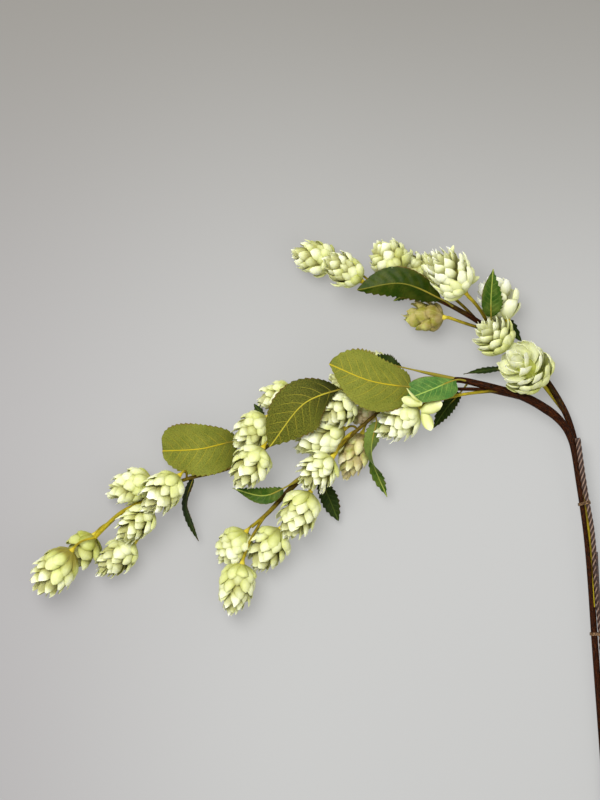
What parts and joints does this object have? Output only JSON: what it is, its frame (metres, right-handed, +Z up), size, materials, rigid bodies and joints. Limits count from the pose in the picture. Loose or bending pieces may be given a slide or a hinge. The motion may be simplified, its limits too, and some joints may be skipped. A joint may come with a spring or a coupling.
{
  "type": "hop bine",
  "caption": "Cut hop bine lying flat: a brown wired stem bound to a support rod, arching branches, pale green cones and serrated leaves.",
  "frame": {"origin": "on the table, at the middle of the rectangle that the bine covers", "axes": "+Z up from the table; +Y from the stem's cut end towards the fork; -X towards the hanging tips of the branches"},
  "size_m": [0.5968, 0.6767, 0.0772],
  "materials": {
    "bark": "satin dark reddish brown",
    "twig": "satin brown, turning yellow-green on the thin stalks",
    "bract": "matt, yellow-green at the foot and cream at the edge",
    "leaf": "matt olive with paler veins",
    "rod": "matt brown, twisted",
    "wire": "brown lacquered wire"
  },
  "bodies": {
    "root": {"arch": "bark", "cone_left_01": "bract", "cone_left_02": "bract", "cone_left_03": "bract", "cone_left_04": "bract", "cone_left_05": "bract", "cone_left_06": "bract", "cone_left_07": "bract", "cone_left_08": "bract", "cone_left_09": "bract", "cone_lower_01": "bract", "cone_lower_02": "bract", "cone_lower_03": "bract", "cone_lower_04": "bract", "cone_lower_05": "bract", "cone_lower_06": "bract", "cone_lower_07": "bract", "cone_middle_01": "bract", "cone_middle_02": "bract", "cone_middle_03": "bract", "cone_middle_04": "bract", "cone_middle_05": "bract", "cone_upper_01": "bract", "cone_upper_02": "bract", "cone_upper_03": "bract", "cone_upper_04": "bract", "cone_upper_05": "bract", "cone_upper_06": "bract", "cone_upper_07": "bract", "cone_upper_08": "bract", "cone_upper_09": "bract", "cone_upper_10": "bract", "leaf_left_01": "leaf", "leaf_left_02": "leaf", "leaf_left_03": "leaf", "leaf_left_04": "leaf", "leaf_lower_01": "leaf", "leaf_lower_02": "leaf", "leaf_lower_03": "leaf", "leaf_middle_01": "leaf", "leaf_middle_02": "leaf", "leaf_middle_03": "leaf", "leaf_middle_04": "leaf", "leaf_upper_01": "leaf", "leaf_upper_02": "leaf", "leaf_upper_03": "leaf", "leaf_upper_04": "leaf", "leaf_upper_05": "leaf", "left_branch": "twig", "lower_branch": "twig", "main_stem": "bark", "plain_rod": "rod", "twisted_rod": "rod", "upper_branch": "twig", "wire_tie_lower": "wire", "wire_tie_upper": "wire"}
  },
  "joints": []
}
